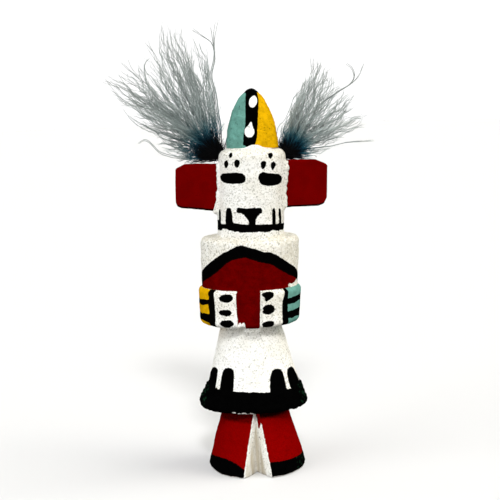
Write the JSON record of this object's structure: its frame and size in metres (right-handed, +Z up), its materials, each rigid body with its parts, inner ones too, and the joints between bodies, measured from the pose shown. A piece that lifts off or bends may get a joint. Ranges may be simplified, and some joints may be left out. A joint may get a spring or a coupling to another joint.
{
  "type": "kachina doll",
  "caption": "Small carved and painted wooden kachina doll with ear tabs, a pointed crest and plumes of down; stands on its own feet.",
  "frame": {"origin": "centre of the flat base, on the surface that the doll stands on", "axes": "+Z up, the doll's front faces -Y, +X to the right as seen from the front"},
  "size_m": [0.0943, 0.0353, 0.1591],
  "materials": {
    "gessoed_wood": "matte gesso with poster paint",
    "ear_paint": "satin dark red paint",
    "crest_paint": "matte paint in turquoise, black and yellow",
    "down": "soft grey down, blue-black at the base"
  },
  "bodies": {
    "root": {"figure": "gessoed_wood", "ear_left": "ear_paint", "ear_right": "ear_paint", "crest": "crest_paint", "plume_left": "down", "plume_right": "down"}
  },
  "joints": []
}
